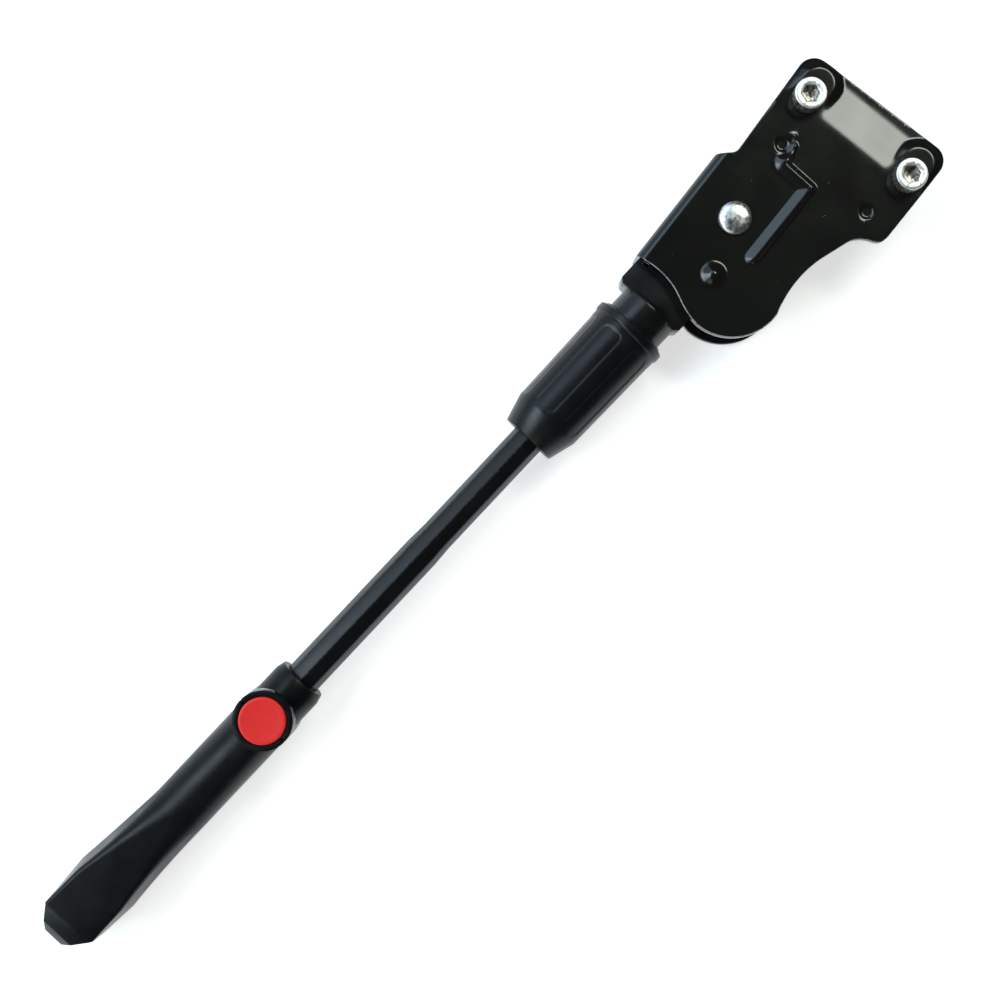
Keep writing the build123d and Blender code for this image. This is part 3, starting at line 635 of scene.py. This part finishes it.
screws = bmesh.new()
for side in (-1, 1):
    one = bmesh.new()
    lathe(one, [(3.0, wall), (head_r - 0.3, wall), (head_r, wall + 0.3), (head_r, wall + 5.5),
                (head_r - 0.06, wall + 5.7), (head_r - 0.16, wall + 5.9), (head_r - 0.35, wall + head_top),
                (3.3, wall + head_top)])
    for vert in one.verts:
        turn = round(math.atan2(vert.co.y, vert.co.x) / math.pi * 32)
        if turn % 2 and vert.co.xy.length > head_r - 0.01:
            vert.co.xy *= 1 - knurl / head_r
    socket = bmesh.ops.create_circle(one, segments=6, radius=key_r, cap_ends=False)["verts"]
    spin_key = Matrix.Rotation(math.radians(14 + 25 * side), 4, "Z")
    bmesh.ops.transform(one, matrix=Matrix.Translation((0, 0, wall + head_top - 0.3)) @ spin_key, verts=socket)
    mouth = [e for e in one.edges if len(e.link_faces) == 1 and e.verts[0].co.z > wall + head_top - 0.01]
    hexagon = [e for e in one.edges if all(v in socket for v in e.verts)]
    bmesh.ops.bridge_loops(one, edges=mouth + hexagon)
    floor_edges = bmesh.ops.extrude_edge_only(one, edges=hexagon)["geom"]
    low = [g for g in floor_edges if isinstance(g, bmesh.types.BMVert)]
    bmesh.ops.translate(one, verts=low, vec=(0, 0, -key_depth))
    pit = bmesh.ops.contextual_create(one, geom=[g for g in floor_edges if isinstance(g, bmesh.types.BMEdge)])
    poked = bmesh.ops.poke(one, faces=pit["faces"])["verts"]
    bmesh.ops.translate(one, verts=poked, vec=(0, 0, -0.9))
    darkening_layer = one.faces.layers.float.new("wear_and_sheen")
    # The sides of the head and its socket are marked for a darker brown.
    for face in one.faces:
        middle = face.calc_center_median()
        if middle.z < wall + 5.6 and (middle.xy.length > head_r - 0.4 or middle.xy.length < key_r):
            face[darkening_layer] = side_and_socket_darkening
    tooth = [one.verts.new((r, 0, z)) for r, z in ((2.9, -0.2), (2.45, -0.2 - pitch / 2), (2.95, -0.2 - pitch))]
    turns = int((-0.2 - thread_low) / pitch)
    edges = [one.edges.new(pair) for pair in zip(tooth[:-1], tooth[1:])]
    bmesh.ops.spin(
        one, geom=tooth + edges, cent=(0, 0, 0), axis=(0, 0, 1), angle=2 * math.pi * turns,
        steps=32 * turns, dvec=(0, 0, -pitch / 32), use_merge=False, use_duplicate=False,
    )
    lathe(one, [(0.0, -12.8), (2.2, -12.8), (2.7, -12.2), (2.7, 0.2), (3.0, 0.3), (3.0, wall)])
    bmesh.ops.transform(one, matrix=Matrix.Translation((0, side * bolt_reach, 0)), verts=one.verts)
    take_in(screws, one)
finished(screws, "frame_screws", on_bracket, bright_zinc, "bracket_body", ["frame_bolts"])

# %% [markdown]
# ## The rivet
# A rivet's head is hammered to a low dome, and its far end is spread into the back wall. Its
# profile is spun, and a few slow dents in the finish stand for the hammer.

# %% Rivet
rivet = bmesh.new()
arc = [(5.3 * math.sin(t), 0.55 + 1.75 * math.cos(t) ** 0.9) for t in
       (math.radians(a) for a in (0, 12, 24, 36, 48, 60, 72, 82))]
lathe(
    rivet,
    [(r, wall + z) for r, z in arc]
    + [(5.3, wall + 0.45), (5.2, wall), (4.0, wall), (4.0, floor_z + 2.4), (5.2, floor_z)]
    + [(4.8, floor_z), (0.0, floor_z)],
)
bmesh.ops.transform(rivet, matrix=Matrix.Translation((pivot_x, pivot_y, 0)), verts=rivet.verts)
finished(rivet, "pivot_rivet_head", on_bracket, rivet_steel, "bracket_body", ["pivot_rivet"])

# %% [markdown]
# ## The leg's head
# The head is a casting with two cheeks, a square shoulder and a round neck. Its solid already has
# that shape, so a copy of it is merged, its flat faces joined, and its edges rounded. A few cuts
# across the neck keep the soft shading of the rounded shoulder from running down the barrel.

# %% Leg head from its solid
def from_solid(node):
    """A merged copy of a solid's mesh, in millimetres of the frame, with its flat faces joined."""
    bm = bmesh.new()
    bm.from_mesh(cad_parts[node].data)
    bm.transform(Matrix.Scale(1 / mm, 4))
    bmesh.ops.remove_doubles(bm, verts=bm.verts, dist=1e-3)
    bmesh.ops.dissolve_limit(bm, angle_limit=math.radians(1), verts=bm.verts, edges=bm.edges)
    return bm


head = from_solid("leg_head")
round_edges(head, sharp_edges(head, 40), 0.45, 2)
for x in (31.5, 33.0, 36.0, 37.5, 39.0, 43.0):
    bmesh.ops.bisect_plane(head, geom=all_of(head), plane_co=leg_point(x), plane_no=along, dist=1e-4)
finished(head, "leg_head_casting", on_bracket, cast_black, "leg", ["leg_head"])

# %% [markdown]
# ## The rod
# A bar with eight sides and a corner on top. It is thinner in its upper half. A circle of eight
# points is drawn down the leg in three steps, its long corners are rounded a little, and the
# notches for the lock are cut on its underside.

# %% Rod
def ring_at(bm, x, radius):
    """A ring of eight points square to the leg, with one point straight up."""
    made = bmesh.ops.create_circle(bm, segments=8, radius=radius, cap_ends=False)["verts"]
    place = Matrix.Translation((x, 0, 0)) @ Matrix.Rotation(math.pi / 2, 4, "Y")
    bmesh.ops.transform(bm, matrix=place, verts=made)
    return [e for e in bm.edges if all(v in made for v in e.verts)]


rod = bmesh.new()
button_x = 215.65
notch_step = 5.0
notch_z = -5.1
rod_sizes = ((75.4, 5.55), (137.0, 5.55), (144.2, 5.9), (253.0, 5.9))
loops = [ring_at(rod, x, r) for x, r in rod_sizes]
for one_loop, next_loop in zip(loops[:-1], loops[1:]):
    bmesh.ops.bridge_loops(rod, edges=one_loop + next_loop)
bmesh.ops.contextual_create(rod, geom=loops[0])
bmesh.ops.contextual_create(rod, geom=loops[-1])
bmesh.ops.recalc_face_normals(rod, faces=rod.faces)
long_edges = [e for e in rod.edges if e.verts[0].co.x != e.verts[1].co.x]
round_edges(rod, long_edges, 0.35, 3)
for step in range(-7, 5):
    for side in (-1.2, 1.2):
        place = Vector((button_x + notch_step * step + side, 0, 0))
        bmesh.ops.bisect_plane(rod, geom=all_of(rod), plane_co=place, plane_no=(1, 0, 0), dist=1e-4)
for vert in rod.verts:
    from_notch = (vert.co.x - button_x + 37.5) % notch_step - notch_step / 2
    if vert.co.z < -5.0 and abs(from_notch) < 1.25 and button_x - 37 < vert.co.x < button_x + 22:
        vert.co.z = notch_z
finished(rod, "eight_sided_rod", on_leg, rod_black, "leg", ["leg_rod"], crisp=25)

# %% [markdown]
# ## The spring cover
# The cover is one moulding: a rim, a body that narrows slightly, and a cone on the rod. It has
# six shallow panels with rounded corners. The body is spun in fine steps, the faces of each panel
# are pushed in, and a rounded step is left round them.

# %% Cover
cover = bmesh.new()
cover_bore = 10.2
cover_points = [(46.2, 10.3), (46.2, 12.5), (46.5, 12.8), (48.5, 12.85), (48.9, 12.7), (49.3, 12.36)]
body_steps = (
    50.4, 51.2, 51.6, 52.0, 52.4, 52.9, 53.4, 54.0, 58, 62, 66, 70, 74, 78, 80.5, 81.1, 81.6, 82.1,
    82.5, 82.9, 83.3, 84.2,
)
cover_points += [(x, 12.36 - (x - 49.3) * 0.61 / 35.9) for x in body_steps]
cover_points += [
    (85.2, 11.75), (85.9, 11.62), (93.9, 9.4), (94.35, 9.1), (94.4, 8.7), (94.4, 6.1), (93.8, 6.0),
    (88.2, 6.0), (88.2, cover_bore), (46.4, cover_bore), (46.2, 10.3),
]
verts = [cover.verts.new((x, 0, r)) for x, r in cover_points[:-1]]
edges = [cover.edges.new((a, b)) for a, b in zip(verts, verts[1:] + verts[:1])]
bmesh.ops.spin(
    cover, geom=verts + edges, cent=(0, 0, 0), axis=(1, 0, 0), angle=2 * math.pi, steps=180,
    dvec=(0, 0, 0), use_merge=True, use_duplicate=False,
)
bmesh.ops.remove_doubles(cover, verts=cover.verts, dist=1e-4)
bmesh.ops.recalc_face_normals(cover, faces=cover.faces)
panel_half = 19.2
panel_first = 16.75
panel_top = 51.2
panel_low = 84.6
panel_corner = 2.2
panel_depth = 0.26
mean_r = 12
for vert in cover.verts:
    radius = vert.co.yz.length
    if not (50.5 < vert.co.x < 84.5 and radius > 11.5):
        continue
    turn = math.degrees(math.atan2(vert.co.y, vert.co.z))
    aside = abs((turn + panel_first + 30) % 60 - 30) / 180 * math.pi * mean_r
    half = panel_half / 180 * math.pi * mean_r
    past_end = max(0, panel_top + panel_corner - vert.co.x, vert.co.x - panel_low + panel_corner)
    inside = panel_corner - Vector((max(0, aside - half + panel_corner), past_end)).length
    vert.co.yz *= 1 - panel_depth * ease(inside, 0.0, 0.4) / radius
finished(cover, "spring_cover_moulding", on_leg, moulded_cover, "leg", ["spring_cover"])

# %% [markdown]
# ## The foot
# The foot is moulded round the rod: a collar, an upright boss for the button, a round tube, and
# a shoe that widens to a six-sided section and ends in a blunt tip. Its solid has those forms, so
# a copy is merged and its edges rounded. The boss's sides towards the collar get a painted
# reflection: they are painted pale grey, standing in for the white sheet mirrored in them.

# %% Foot
foot = from_solid("foot")
round_edges(foot, sharp_edges(foot, 28), 0.4, 2, mark=0.10)
wear_and_reflection = foot.faces.layers.float["wear_and_sheen"]
boss_wear = 0.8
to_leg = on_leg.inverted() @ on_bracket
# Painted reflection: the boss's sides towards the collar are marked, so the pale wear colour stands in for the
# white sheet mirrored in them.
for face in foot.faces:
    middle = to_leg @ face.calc_center_median() - Vector((button_x, 0, 0))
    on_boss = 8.6 < middle.xy.length < 10.6 and abs(face.normal.z) < 0.7 and middle.z < 11.6
    if on_boss and middle.x < -2.5 and abs(middle.y) > 3.5:
        face[wear_and_reflection] = boss_wear
finished(foot, "moulded_foot", on_bracket, grained_foot, "foot_body", ["foot"])

# %% [markdown]
# ## The button
# A red button with a rounded rim and a slightly hollow top, spun from its profile. Its face is
# left bare, with only the grain of the mould.

# %% Button
button = bmesh.new()
lathe(button, [(0, 12.12), (2.5, 12.14), (4.5, 12.2), (6.0, 12.3), (6.7, 12.38), (7.1, 12.36), (7.4, 12.2),
               (7.52, 11.95), (7.55, 11.6), (7.55, 9.4), (0, 9.4)])
bmesh.ops.transform(button, matrix=Matrix.Translation((button_x, 0, 0)), verts=button.verts)
finished(button, "red_push_button", on_leg, red_button, "button", ["push_button"])

# %% [markdown]
# ## The two springs
# Both springs keep their solid's shape, though each shortens as its joint moves. Each is a merged
# copy of its solid and gets a mesh of its own.

# %% Springs
spring_runs = (
    ("leg_spring", "leg", "plunger_slide", along, leg_point(73.45), 22.1, 1.2),
    ("button_spring", "foot_body", "button_press", Vector((0, 0, 1)), leg_point(button_x, -11.75), 3.5, 1.5),
)
for node, body, joint, axis, still_end, length, travel in spring_runs:
    coil = finished(
        from_solid(node), node + "_coil", on_bracket, spring_wire, body, [node], crisp=50,
    )
    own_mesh(coil)

# %% [markdown]
# ## Pieces kept as they are
# The pieces inside the stand are right as solids, so they keep their own mesh and only get a
# finish.

# %% Finishes for the inner pieces
kept = {
    "pivot_cam": plain_steel, "front_bush": bronze, "rear_bush": bronze, "front_washer": plain_steel,
    "rear_washer": plain_steel, "rod_socket": plain_steel,
    "rod_pin": plain_steel, "rod_end_cap": moulded_cover, "cover_ring": cast_black, "plunger": plain_steel,
    "lock_frame": plain_steel,
}
for node, mat in kept.items():
    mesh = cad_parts[node].data
    mesh.materials.clear()
    mesh.materials.append(mat)
print("kept", len(kept), "solids")

# %% [markdown]
# ## Floor, light and camera
# The stand lies on a white sheet. The sheet looks white to the camera and in reflections, but
# still shows a soft shadow. Five large lamps stand round it at slants, with no lamp overhead. So
# the flat black faces mirror the dark above them, and only the sloping faces pick up the lamps.

# %% Floor
def paper(name, colour, lift):
    """White paper that looks bright to the camera, and gives only its plain colour to the light."""
    mat = bpy.data.materials.new(name)
    mat.use_nodes = True
    tree = mat.node_tree
    tree.nodes.remove(tree.nodes["Principled BSDF"])
    out = tree.nodes["Material Output"]
    diffuse = tree.nodes.new("ShaderNodeBsdfDiffuse")
    diffuse.inputs["Color"].default_value = colour
    glow = tree.nodes.new("ShaderNodeEmission")
    rays = tree.nodes.new("ShaderNodeLightPath")
    seen = rays.outputs["Is Camera Ray"]
    for other in ("Is Glossy Ray", "Is Transmission Ray"):
        either = tree.nodes.new("ShaderNodeMath")
        either.operation = "MAXIMUM"
        tree.links.new(seen, either.inputs[0])
        tree.links.new(rays.outputs[other], either.inputs[1])
        seen = either.outputs[0]
    amount = tree.nodes.new("ShaderNodeMath")
    amount.operation = "MULTIPLY"
    amount.inputs[1].default_value = lift
    tree.links.new(seen, amount.inputs[0])
    tree.links.new(amount.outputs[0], glow.inputs["Strength"])
    both = tree.nodes.new("ShaderNodeAddShader")
    tree.links.new(diffuse.outputs[0], both.inputs[0])
    tree.links.new(glow.outputs[0], both.inputs[1])
    tree.links.new(both.outputs[0], out.inputs["Surface"])
    return mat


sheet = bmesh.new()
bmesh.ops.create_circle(sheet, segments=96, radius=6.0, cap_ends=True)
bmesh.ops.translate(sheet, verts=sheet.verts, vec=(-0.15, 0, floor_z * mm - 0.00005))
sheet_mesh = bpy.data.meshes.new("white_sheet")
sheet.to_mesh(sheet_mesh)
sheet.free()
floor = bpy.data.objects.new("white_sheet", sheet_mesh)
bpy.context.scene.collection.objects.link(floor)
floor.data.materials.append(paper("white_paper", (0.80, 0.81, 0.82, 1), 0.62))
floor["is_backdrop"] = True

# %% [markdown]
# Each lamp is given by the side it stands on, its slant from straight above, its distance and
# size in metres, its power and its colour. All of them look at the middle of the stand.

# %% Lamps
stand_middle = Vector((-0.15, 0.02, 0.0))


def softbox(name, toward, tilt, distance, size, power, colour):
    """A large lamp that looks at the stand from a side, tilted from straight above."""
    data = bpy.data.lights.new(name, "AREA")
    data.shape = "RECTANGLE"
    data.size, data.size_y = size
    data.energy = power
    data.color = colour
    lamp = bpy.data.objects.new(name, data)
    direction = Vector((toward[0], toward[1], 0)).normalized() * math.sin(math.radians(tilt))
    direction.z = math.cos(math.radians(tilt))
    lamp.location = stand_middle + direction * distance
    lamp.rotation_euler = direction.to_track_quat("Z", "Y").to_euler()
    bpy.context.scene.collection.objects.link(lamp)
    return lamp


softbox("window", (1, 0), 39, 1.2, (0.56, 0.23), 5.0, (0.93, 1.0, 0.89))
softbox("sky", (0, 1), 40, 1.3, (1.6, 0.55), 7.6, (0.62, 0.80, 1.0))
softbox("low_sky", (0, 1), 70, 1.4, (1.8, 0.75), 4.4, (0.60, 0.79, 1.0))
softbox("corner", (-0.64, 0.77), 46, 1.3, (1.0, 0.6), 9.5, (0.78, 0.93, 1.0))
softbox("fill", (-1, -0.1), 66, 1.4, (1.2, 1.0), 4.0, (1.0, 1.0, 0.94))
world = bpy.data.worlds.new("room")
bpy.context.scene.world = world
world.use_nodes = True
background = world.node_tree.nodes["Background"].inputs
background["Color"].default_value = (0.9, 0.95, 1.0, 1)
background["Strength"].default_value = 0.05

# %% [markdown]
# The camera hangs above the stand and looks straight down. Its place, turn and lens come from
# lining up the solid with the photograph.

# %% Camera
camera_data = bpy.data.cameras.new("camera")
camera_data.lens = 54.82
camera_data.sensor_width = 36.0
camera = bpy.data.objects.new("camera", camera_data)
camera.location = (-0.1584, 0.0161, 0.480)
camera.rotation_euler = (0, 0, math.atan2(-0.7801, 0.6256))
bpy.context.scene.collection.objects.link(camera)
bpy.context.scene.camera = camera
bpy.context.scene.view_settings.view_transform = "Standard"

# %% [markdown]
# Last, the size of the dressed model is printed.

# %% Size of the dressed model
low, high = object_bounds()
print("dressed model from", tuple(low), "to", tuple(high))
